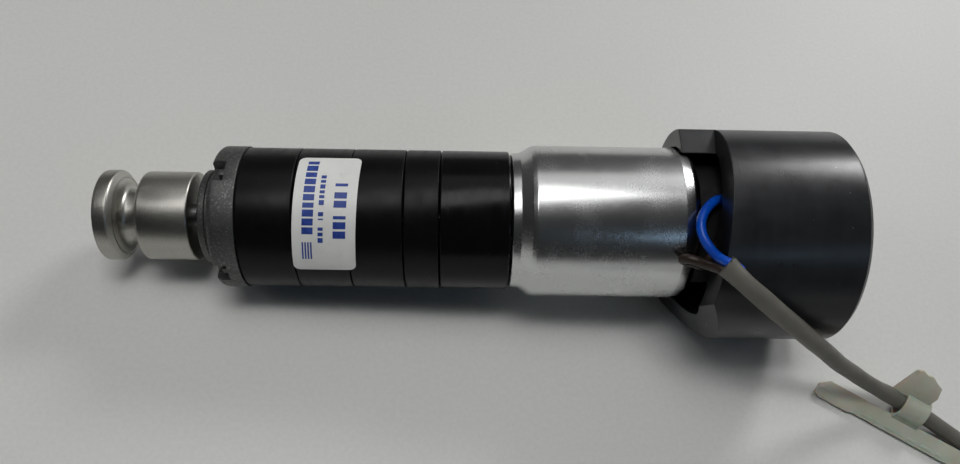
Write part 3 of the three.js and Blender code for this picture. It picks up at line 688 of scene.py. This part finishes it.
def make_marker():
    """The nylon marker: a strap round the lead, its head and tail behind, and a name plate in front."""
    place = Matrix.Translation(Vector(MARKER_AT) * MM) @ Matrix.Rotation(MARKER_HEADING, 4, "Z")
    strap_profile = rounded([(-3.0, 2.85), (-3.0, 3.6, 0.25), (3.0, 3.6, 0.25), (3.0, 2.85)])
    strap = lathe("marker_strap", strap_profile, 64)
    strap.matrix_world = place
    plate_turn = Matrix.Translation(Vector((0, -1.3, -1.4)) * MM) @ Matrix.Rotation(0.3, 4, "X")
    plate_outline = [(-21.5, -5.9), (-20.6, -6.6), (-12.5, -6.6), (-11.8, -6.2), (14.2, -6.2), (15.5, -5.0),
                     (15.5, -2.6), (14.4, -1.7), (-12.0, -1.7), (-13.0, -1.5), (-19.0, -1.5), (-21.5, -3.4)]
    plate = outline_solid("marker_plate", plate_outline, 0.8,
                          place @ plate_turn @ Matrix.Translation(Vector((0, 0, -0.4)) * MM))
    groove = rod(-30, 30, 3.4, sides=40)
    groove.matrix_world = place
    boolean(plate, [groove])
    bevelled(plate, 0.16)
    bars = []
    for i, (x, length) in enumerate(((-9.5, 2.4), (-6.2, 1.4), (-3.9, 2.8), (-0.2, 1.4), (2.2, 2.4), (5.6, 2.8),
                                     (9.4, 1.4))):
        outline = [(x, -5.6), (x + length, -5.6), (x + length, -4.9), (x, -4.9)]
        bar = outline_solid(f"marker_bar_{i + 1}", outline, 0.22,
                            place @ plate_turn @ Matrix.Translation(Vector((0, 0, 0.36)) * MM))
        bars.append(bevelled(bar, 0.06))
    web = new_object("marker_web", [(x, y, z) for x in (-3.2, 3.2) for y, z in ((-3.9, -2.5), (-2.0, -2.3),
                                    (-2.4, -0.4), (-3.3, 0.1))],
                     [(0, 1, 2, 3), (4, 5, 6, 7), (0, 1, 5, 4), (1, 2, 6, 5), (2, 3, 7, 6), (3, 0, 4, 7)], place)
    web_hole = rod(-30, 30, 3.1, sides=40)
    web_hole.matrix_world = place
    boolean(web, [web_hole])
    bevelled(web, 0.1)
    flag_outline = [(-4.6, 0), (4.2, 0), (5.2, 2.8), (4.6, 5.6), (3.1, 6.2), (1.6, 7.2), (0.4, 6.9), (-1.0, 7.4),
                    (-2.4, 6.8)]
    flag_place = place @ Matrix.Translation(Vector((-2.2, 1.2, 2.3)) * MM) @ Matrix.Rotation(0.8, 4, "X")
    flag = outline_solid("marker_flag", flag_outline, 1.0, flag_place)
    bevelled(flag, 0.2)
    return [strap, plate, web, flag, *bars]


for part in make_marker():
    nodes = ["cable_marker_tie"] if part.name == "marker_strap" else []
    finish_piece(part, "natural_nylon", HOUSING, *nodes)
    lead_pieces.append(part)


def make_coil_tie():
    """A narrow tie round the two strands of the coil, with its lock on top."""
    centre = (COIL_CENTRE[0] - (OUTER_TURN + INNER_TURN) / 2, COIL_CENTRE[1])
    half_wide = (OUTER_TURN - INNER_TURN) / 2 + SHEATH_THICK / 2 + 0.35
    low = 0.05
    high = LAY_HEIGHT + TIE_LIFT + SHEATH_WIDTH / 2 + 0.6
    middle = (low + high) / 2
    half_high = (high - low) / 2
    corner = 2.1
    loop = []
    for cx, cz, start in ((1, 1, 0), (-1, 1, 90), (-1, -1, 180), (1, -1, 270)):
        for k in range(7):
            a = math.radians(start + 15 * k)
            loop.append((cx * (half_wide - corner) + corner * math.cos(a),
                         cz * (half_high - corner) + corner * math.sin(a)))
    inner = [(x * (1 - 0.55 / half_wide), z * (1 - 0.5 / half_high)) for x, z in loop]
    count = len(loop)
    vertices = []
    for y in (-1.2, 1.2):
        vertices += [(centre[0] + x, centre[1] + y, middle + z) for x, z in loop]
        vertices += [(centre[0] + x, centre[1] + y, middle + z) for x, z in inner]
    faces = []
    for i in range(count):
        n = (i + 1) % count
        faces += [(i, n, count + n, count + i), (2 * count + i, 2 * count + n, 3 * count + n, 3 * count + i),
                  (i, n, 2 * count + n, 2 * count + i), (count + i, count + n, 3 * count + n, 3 * count + i)]
    tie = new_object("coil_tie", vertices, faces, Matrix.Identity(4))
    bevelled(tie, 0.12)
    x, y = centre
    lock = new_object("coil_tie_lock", [(x + i, y + j, high - 0.4 + k) for i in (-2.0, 2.0) for j in (-2.1, 2.1)
                                        for k in (0, 2.0)],
                      BOX_FACES, Matrix.Identity(4))
    bevelled(lock, 0.35, 3)
    return [tie, lock]


for part in make_coil_tie():
    finish_piece(part, "natural_nylon", HOUSING)
    lead_pieces.append(part)


# ---- output side ----
SET_SCREW_TURN = 196                   # degrees up from the -Y side
SET_SCREW_X = -74.8


def make_pulley():
    quarter = [math.pi * k / 20 for k in range(11)]
    groove_near = [(-85.95 - 1.55 * math.cos(a), 7.6 - 1.55 * math.sin(a)) for a in quarter]
    groove_far = [(-84.9 + 1.3 * math.sin(a), 7.3 - 1.3 * math.cos(a)) for a in quarter]
    profile = rounded([
        (-92.1, 3.15, 0.25), (-92.1, 8.4, 0.15), (-91.8, 8.7, 0.15), (-91.8, 9.4, 0.1), (-92.1, 9.6, 0.1),
        (-92.1, 10.4, 0.75), (-89.0, 10.4, 0.7), (-87.9, 8.9, 0.5),
    ]) + groove_near + groove_far + rounded([
        (-83.4, 8.6, 0.3), (-82.7, 10.2, 0.75), (-71.4, 10.2, 0.45), (-71.4, 3.15, 0.25),
    ])
    pulley = lathe("pulley_body", profile, 160)
    bore = new_object("tool", *radial_rod(SET_SCREW_X, 1.75, 2, 12, 40))
    boolean(pulley, [aim(bore, SET_SCREW_TURN)])
    return finish_piece(pulley, "turned_aluminium", OUTPUT, "output_pulley")


def radial_rod(x, r, low, high, sides):
    """Vertices and faces of a bar that stands on the axis at x, pointing up."""
    ring = [(x + r * math.cos(TAU * k / sides), r * math.sin(TAU * k / sides)) for k in range(sides)]
    return [(a, b, z) for z in (low, high) for a, b in ring], closed_faces(sides)


def make_set_screw():
    screw = new_object("set_screw", *radial_rod(SET_SCREW_X, 1.5, 3.3, 9.0, 40))
    socket = new_object("tool", *radial_rod(SET_SCREW_X, 0.8, 7.0, 12, 6))
    boolean(screw, [socket])
    bevelled(screw, 0.12)
    aim(screw, SET_SCREW_TURN)
    return finish_piece(screw, "gear_steel", OUTPUT, "pulley_set_screw")


def make_shaft():
    profile = rounded([
        (-91.0, 0.0), (-91.6, 0.9), (-91.6, 2.5, 0.1), (-91.1, 3.0, 0.1), (-62.0, 3.0), (-61.9, 2.5),
        (-61.0, 2.5), (-60.9, 3.0), (-47.6, 3.0), (-47.3, 2.7), (-47.3, 0.0),
    ])
    shaft = lathe("shaft_body", profile, 72, closed=False)
    flat = block((-82.7, -4, 2.65), (-70.4, 4, 4))
    boolean(shaft, [aim(flat, SET_SCREW_TURN)])
    return finish_piece(shaft, "gear_steel", OUTPUT, "output_shaft")


make_pulley()
make_set_screw()
make_shaft()

# ---- gearhead ----
FLANGE_FRONT = -65.5
NOTCH_TURN = 7                         # degrees from the -Y side to the first of the four notches
QUARTERS = (0, 90, 180, 270)
HOUSING_R = 16.0
PRESSURE_ANGLE = math.radians(20)
BACKLASH = 0.12
PLANET_TEETH = 18
ADAPTER_SCREW_TURN = 30


def make_flange():
    profile = rounded([
        (-69.0, 4.2, 0.3), (-69.0, 7.6, 0.2), (-68.5, 8.0, 0.2), (-68.5, 9.3, 0.2), (-69.0, 9.7, 0.25),
        (-69.0, 10.7, 0.35), (-67.6, 10.7, 0.2), (-67.4, 10.35, 0.1), (-66.9, 10.35, 0.1), (-66.7, 10.7, 0.15),
        (-65.5, 10.9, 0.35), (-65.5, 16.25, 1.35), (-59.5, 16.25, 0.12), (-59.5, 12.5), (-59.1, 12.5),
        (-59.1, 8.15), (-67.9, 8.15), (-67.9, 4.2),
    ])
    flange = lathe("flange_body", profile, 160)
    tools = [aim(block((FLANGE_FRONT - 1, -2.8, 13.2), (FLANGE_FRONT + 3.3, 2.8, 18)), q + NOTCH_TURN)
             for q in QUARTERS]
    tools += [aim(rod(FLANGE_FRONT - 1, FLANGE_FRONT + 4.5, 1.25, (0, 13.1), 32), q + NOTCH_TURN + 45)
              for q in QUARTERS]
    tools += [aim(rod(FLANGE_FRONT + 3, FLANGE_FRONT + 4.6, 0.8, (-1.2, 14.2), 24), q + NOTCH_TURN)
              for q in QUARTERS]
    boolean(flange, tools)
    bevelled(flange, 0.2, 2, 40)
    finish_piece(flange, "cast_zinc", HOUSING, "front_flange")
    for i, q in enumerate(QUARTERS):
        tab = block((FLANGE_FRONT + 1.9, -0.85, 13.1), (FLANGE_FRONT + 3.6, 0.85, 15.5))
        tab.name = f"flange_tab_{i + 1}"
        bevelled(tab, 0.25)
        finish_piece(aim(tab, q + NOTCH_TURN), "cast_zinc", HOUSING)


make_flange()


def section_profile(x0, x1, inside, chamfer=0.22):
    """A housing section with broken edges. inside is the bore's outline from the far end back."""
    r = HOUSING_R
    return rounded([(x0, r - chamfer, 0.06), (x0 + chamfer, r, 0.1), (x1 - chamfer, r, 0.1),
                    (x1, r - chamfer, 0.06), *inside])


def gear_outline(teeth, module, phase, inner, outer):
    """Six points a tooth, from inner below the pitch circle to outer above it, on involute flanks."""
    pitch_r = teeth * module / 2
    base_r = pitch_r * math.cos(PRESSURE_ANGLE)

    def involute(angle):
        return math.tan(angle) - angle

    def half_tooth(r):
        at = math.acos(min(1, base_r / r))
        wider = BACKLASH / (2 * pitch_r)
        return math.pi / (2 * teeth) + wider + involute(PRESSURE_ANGLE) - involute(at)

    radii = (pitch_r - inner, pitch_r, pitch_r + outer)
    out = []
    for i in range(teeth):
        middle = phase + TAU * i / teeth
        out += [(r, middle - half_tooth(r)) for r in radii]
        out += [(r, middle + half_tooth(r)) for r in reversed(radii)]
    return [(r * math.cos(a), r * math.sin(a)) for r, a in out]


def make_ring_gear(stage, x0, x1, teeth, module):
    inside = [(x1, 11.0), (x0, 11.0)]
    shell = lathe(f"ring_section_{stage}", section_profile(x0, x1, inside), 144)
    phase = -(math.pi / teeth) * (1 - PLANET_TEETH)
    outline = gear_outline(teeth, module, phase, 0.8 * module, 1.1 * module)
    boolean(shell, [prism("tool", outline, x0 - 1, x1 + 1)])
    finish_piece(shell, "black_housing", HOUSING, f"ring_gear_{stage}")


def adapter_screw_holes(x0, x1):
    """Tools for the two holes through which the adapter is screwed to the can."""
    return [aim(rod(x0, x1, 1.45, (0, 9), 32), turn + ADAPTER_SCREW_TURN) for turn in (0, 180)]


def make_gearhead():
    housing = lathe("bearing_section", section_profile(-59.3, -47.3, [
        (-47.3, 14), (-50.6, 14), (-50.6, 8.15), (-56.0, 8.15), (-56.0, 4.2), (-56.7, 4.2), (-56.7, 12.8),
        (-59.3, 12.8)]), 144)
    finish_piece(housing, "black_housing", HOUSING, "bearing_housing")
    make_ring_gear("output", -47.1, -35.4, 57, 0.46)
    make_ring_gear("middle", -35.2, -23.5, 48, 0.55)
    make_ring_gear("input", -23.3, -15.7, 48, 0.55)
    adapter = lathe("adapter_section", section_profile(-15.5, -0.1, [
        (-0.1, 4.0, 0.2), (-4.5, 4.0, 0.2), (-4.5, 13.2), (-15.5, 13.2)], 0.3), 144)
    boolean(adapter, adapter_screw_holes(-6, 1))
    finish_piece(adapter, "black_gloss", HOUSING, "motor_adapter", slot="black_housing")


make_gearhead()


# ---- label ----
# low and high are degrees up from the -Y side, and skew is how far the sheet leans along x for each mm of arc
LABEL = {"from": -46.9, "to": -33.3, "low": 14.0, "high": 113.0, "radius": 16.08, "thick": 0.12, "skew": 0.037}


def curved_patch(name, x0, x1, s0, s1, corner, thick, radius, look, slot):
    """A thin sheet bent round the gearhead, with round corners. s is arc length from the label's middle."""
    middle = math.radians((LABEL["low"] + LABEL["high"]) / 2)
    rows = 48 if s1 - s0 > 3 else 10
    levels = []
    for i in range(rows + 1):
        s = s0 + (s1 - s0) * (0.5 - 0.5 * math.cos(math.pi * i / rows))
        edge = min(s - s0, s1 - s)
        inset = 0.0
        if corner and edge < corner:
            inset = corner - math.sqrt(max(corner ** 2 - (corner - edge) ** 2, 0))
        levels.append((s, x0 + inset, x1 - inset))
    vertices = []
    for r in (radius, radius + thick):
        for s, low, high in levels:
            a = middle + s / radius
            for x in (low, high):
                vertices.append((x + LABEL["skew"] * s, -r * math.cos(a), r * math.sin(a)))
    top = 2 * (rows + 1)
    faces = []
    for i in range(rows):
        a, b, c, d = 2 * i, 2 * i + 1, 2 * i + 3, 2 * i + 2
        faces += [(a, b, c, d), (top + a, top + b, top + c, top + d), (a, d, top + d, top + a),
                  (b, c, top + c, top + b)]
    last = 2 * rows
    faces += [(0, 1, top + 1, top), (last, last + 1, top + last + 1, top + last)]
    patch = new_object(name, vertices, faces)
    return finish_piece(patch, look, HOUSING, slot=slot)


def make_label():
    """The label's sheet. Gives back where its middle is along the axis."""
    half_s = math.radians(LABEL["high"] - LABEL["low"]) / 2 * LABEL["radius"]
    middle_x = (LABEL["from"] + LABEL["to"]) / 2
    film = curved_patch("label_sheet", LABEL["from"], LABEL["to"], -half_s, half_s, 1.5,
                        LABEL["thick"], LABEL["radius"], "label_film", "label_film")
    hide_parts("ratio_label")
    return middle_x


def make_print(middle_x):
    """Plain bars in place of the printing: a bold column, a fine one and a large one, and a square mark."""
    columns = [                        # x from the middle, width, and the bars along the arc
        ("bold", -3.5, 2.4, [(-5.0, -3.5), (-3.1, -1.6), (-1.2, 0.3), (0.7, 1.8), (2.3, 3.7), (4.1, 5.6),
                             (6.0, 7.4), (7.8, 9.1), (9.5, 11.1), (11.5, 12.5)]),
        ("fine", -0.7, 1.1, [(-6.9, -5.8), (-5.4, -4.6), (-4.2, -3.5), (-1.9, -1.6), (-1.1, -0.2), (1.3, 2.4),
                             (2.8, 3.5), (3.9, 4.6), (5.0, 6.0), (6.4, 7.1), (7.5, 8.3)]),
        ("large", 3.3, 2.7, [(-5.9, -4.3), (-3.8, -2.3), (-1.7, -1.0), (0.8, 2.3), (2.8, 4.2), (5.6, 6.3)]),
    ]
    radius = LABEL["radius"] + LABEL["thick"] + 0.01
    for name, x, width, bars in columns:
        for i, (s0, s1) in enumerate(bars):
            curved_patch(f"print_{name}_{i + 1}", middle_x + x - width / 2, middle_x + x + width / 2, s0, s1,
                         0, 0.02, radius, "label_ink", "label_film")
    for i in range(4):
        inset = 0.6 * i
        curved_patch(f"print_mark_{i + 1}", middle_x - 4.7 + inset, middle_x - 4.35 + inset, -10.9, -6.8, 0, 0.02,
                     radius, "label_ink", "label_film")


make_print(make_label())


# ---- motor ----
WIRE_NOTCH_TURN = 66                   # degrees up from the -Y side to the notch in the end bell


def make_can():
    profile = rounded([
        (0.2, 3.4, 0.15), (0.2, 15.2, 0.5), (0.55, 15.62, 0.2), (2.3, 15.75, 0.5), (4.7, 17.2, 0.7),
        (5.6, 17.5, 0.8), (37.6, 17.5, 0.6), (39.7, 17.05, 0.9), (41.0, 15.8, 0.8), (41.5, 14.4, 0.4),
        (41.5, 13.6, 0.15), (40.4, 15.2, 0.6), (39.2, 16.2, 0.6), (37.7, 16.5, 0.4), (5.6, 16.5), (2.7, 14.4),
        (2.2, 14.0), (2.2, 3.4),
    ], 6)
    can = lathe("can_shell", profile, 176)
    boolean(can, adapter_screw_holes(-1, 3))
    return finish_piece(can, "plated_steel", HOUSING, "motor_can", degrees=40)


def make_end_bell():
    profile = rounded([
        (49.6, 0), (49.6, 3.6, 0.1), (45.8, 3.6, 0.1), (45.8, 8.5), (38.3, 8.5), (38.3, 13.3, 0.2),
        (41.8, 13.3), (41.8, 13.9, 0.2), (53.2, 13.9, 0.3), (53.2, 0),
    ])
    bell = lathe("end_bell_body", profile, 120, closed=False)
    notch = block((40.8, -6.5, 12.4), (51.4, 6.5, 19))
    boolean(bell, [aim(notch, WIRE_NOTCH_TURN)])
    bevelled(bell, 0.15)
    return finish_piece(bell, "black_plastic", HOUSING, "motor_end_bell")


def make_terminals():
    for name, side in (("plus", 1), ("minus", -1)):
        blade = block((48.0, side * 3.2 - 1.2, 12.75), (51.0, side * 3.2 + 1.2, 14.6))
        blade.name = f"terminal_blade_{name}"
        boolean(blade, [rod(47, 49.4, 0.9, (side * 3.2, 14.0), 24)])
        bevelled(blade, 0.12)
        finish_piece(aim(blade, WIRE_NOTCH_TURN), "brass_terminal", HOUSING, f"terminal_{name}")


make_can()
make_end_bell()
make_terminals()

# ---- rear cap ----
CAP = {"front": 38.4, "step": 44.2, "back": 74.2, "r": 24.2, "bore": 17.85, "bore_end": 53.6, "ledge": 15.5}
CAP_CHAMFER = 1.1
STEP_NORMAL = Vector((1, -0.085, -0.052)).normalized()
OPEN_SIDE = {"y": -8, "low": -4}       # the near side is milled away in front of the step, down to this height
POCKET = {"centre": (-9.5, -2), "r": 11.9}
SLANT_THROUGH = (47.0, CAP_SHIFT - 23.4, -6.3)
SLANT_NORMAL = Vector((1, 0.6, 0.24)).normalized()


def ahead_of(normal, through):
    """A tool that takes away all in front of a plane."""
    turn = Vector((1, 0, 0)).rotation_difference(normal).to_matrix().to_4x4()
    return block((-60, -80, -80), (0, 80, 80), Matrix.Translation(through) @ turn)


def make_cap():
    """A turned cap with a bore and a pocket, milled away above the ledge, on the near side and at a slant."""
    c = CAP
    profile = rounded([(c["front"], 0), (c["front"], c["r"], 0.25), (c["back"] - CAP_CHAMFER, c["r"], 0.2),
                       (c["back"], c["r"] - CAP_CHAMFER, 0.2), (c["back"], 4.0, 0.2), (c["back"] - 0.3, 3.6, 0.1),
                       (c["back"] - 0.3, 0)])
    cap = lathe("cap_body", profile, 192, closed=False)
    cap.data.transform(Matrix.Translation((0, CAP_SHIFT * MM, 0)))
    bore = rod(c["front"] - 1, c["bore_end"], c["bore"], sides=144)
    pocket = rod(c["front"] - 1, c["bore_end"] - 0.02, POCKET["r"], POCKET["centre"], 120)
    above = boolean(ahead_of(STEP_NORMAL, (c["step"], CAP_SHIFT, 0)),
                    [block((-61, -90, -90), (91, 90, c["ledge"]))])
    near = boolean(ahead_of(STEP_NORMAL, (c["step"] + 0.001, CAP_SHIFT, 0)),
                   [block((-91, OPEN_SIDE["y"], -90), (91, 90, 90)),
                    block((-92, -91, -91), (92, 0, OPEN_SIDE["low"]))])
    slant = boolean(ahead_of(SLANT_NORMAL, SLANT_THROUGH), [block((-93, -92, c["ledge"]), (93, 92, 92))])
    boolean(cap, [bore, pocket, above, near, slant])
    return finish_piece(cap, "cap_plastic", HOUSING, "rear_cap", degrees=25)


make_cap()

# ---- inner pieces keep their CAD shapes and take these finishes ----
SLOT_OF = {entry["node"]: entry["material_slot"] for entry in frame["record"]["subparts"]}
for node, piece in frame["nodes"].items():
    look = LOOKS[SLOT_OF[node]]
    for holder in piece.material_slots:
        holder.material = look
    if not piece.material_slots:
        piece.data.materials.append(look)


# ---- stage and light ----
def make_floor():
    floor = new_object("floor", [(-3, -3, 0), (3, -3, 0), (3, 3, 0), (-3, 3, 0)], [(0, 1, 2, 3)],
                       Matrix.Identity(4), 1.0)
    made, shader, put, links = material("floor")
    fine = noise(put, 900, 3)
    broad = noise(put, 6, 3)
    tone = combined(put, ramp(put, fine, 0.3, 0.7, 0, 0.5), ramp(put, broad, 0.3, 0.7, 0, 0.5))
    links.new(mix(put, tone, (0.60, 0.60, 0.575), (0.68, 0.68, 0.655)), shader.inputs["Base Color"])
    shader.inputs["Roughness"].default_value = 0.55
    links.new(bump(put, fine, 0.12, 0.0001), shader.inputs["Normal"])
    floor.data.materials.append(made)


def area_light(name, at, toward, size, power, colour=(1, 1, 1), diffuse=True, glossy=True):
    data = bpy.data.lights.new(name, "AREA")
    data.shape = "RECTANGLE"
    data.size, data.size_y = size
    data.energy = power
    data.color = colour
    lamp = bpy.data.objects.new(name, data)
    lamp.location = at
    lamp.rotation_mode = "QUATERNION"
    lamp.rotation_quaternion = (Vector(toward) - Vector(at)).to_track_quat("-Z", "Y")
    lamp.visible_diffuse = diffuse
    lamp.visible_glossy = glossy
    bpy.context.collection.objects.link(lamp)


def make_world():
    """A soft room: bright behind the object and overhead, dark on the viewer's side."""
    world = bpy.data.worlds.new("room")
    bpy.context.scene.world = world
    world.use_nodes = True
    nodes = world.node_tree.nodes
    links = world.node_tree.links
    coords = nodes.new("ShaderNodeTexCoord")
    split = nodes.new("ShaderNodeSeparateXYZ")
    links.new(coords.outputs["Generated"], split.inputs[0])
    span = nodes.new("ShaderNodeMapRange")
    span.inputs["From Min"].default_value = -0.35
    span.inputs["From Max"].default_value = 0.75
    span.inputs["To Min"].default_value = 0.02
    span.inputs["To Max"].default_value = 0.055
    links.new(split.outputs["Y"], span.inputs["Value"])
    background = nodes["Background"]
    background.inputs["Color"].default_value = (0.98, 1.0, 1.0, 1)
    links.new(span.outputs["Result"], background.inputs["Strength"])


make_floor()
make_world()
area_light("overhead", (-0.16, 0.068, 1.1), (-0.1, 0, 0), (0.74, 0.34), 2.7)
area_light("back_wall", (0.0, 0.64, 1.0), (0, 0, 0), (1.1, 0.5), 0.95, diffuse=False)
area_light("ceiling_fill", (0.02, -0.05, 1.15), (0, 0, 0), (0.4, 0.18), 3.5, glossy=False)
area_light("left_fill", (-1.2, -0.05, 0.9), (0, 0, 0), (0.5, 0.5), 1.1, glossy=False)
area_light("right_fill", (1.2, -0.05, 0.9), (0, 0, 0), (0.5, 0.5), 0.5, glossy=False)
area_light("back_window", (0.95, 1.1, 1.0), (0.06, 0, 0), (0.46, 0.36), 8)
area_light("window_glint", (0.94, 1.09, 0.99), (0.06, 0, 0), (0.46, 0.36), 6, diffuse=False)
area_light("front_screen", (0.45, -0.62, 0.58), (0.05, 0, 0), (0.4, 0.05), 0.24, (0.5, 0.72, 1.0))
bpy.context.scene.view_settings.view_transform = "Standard"
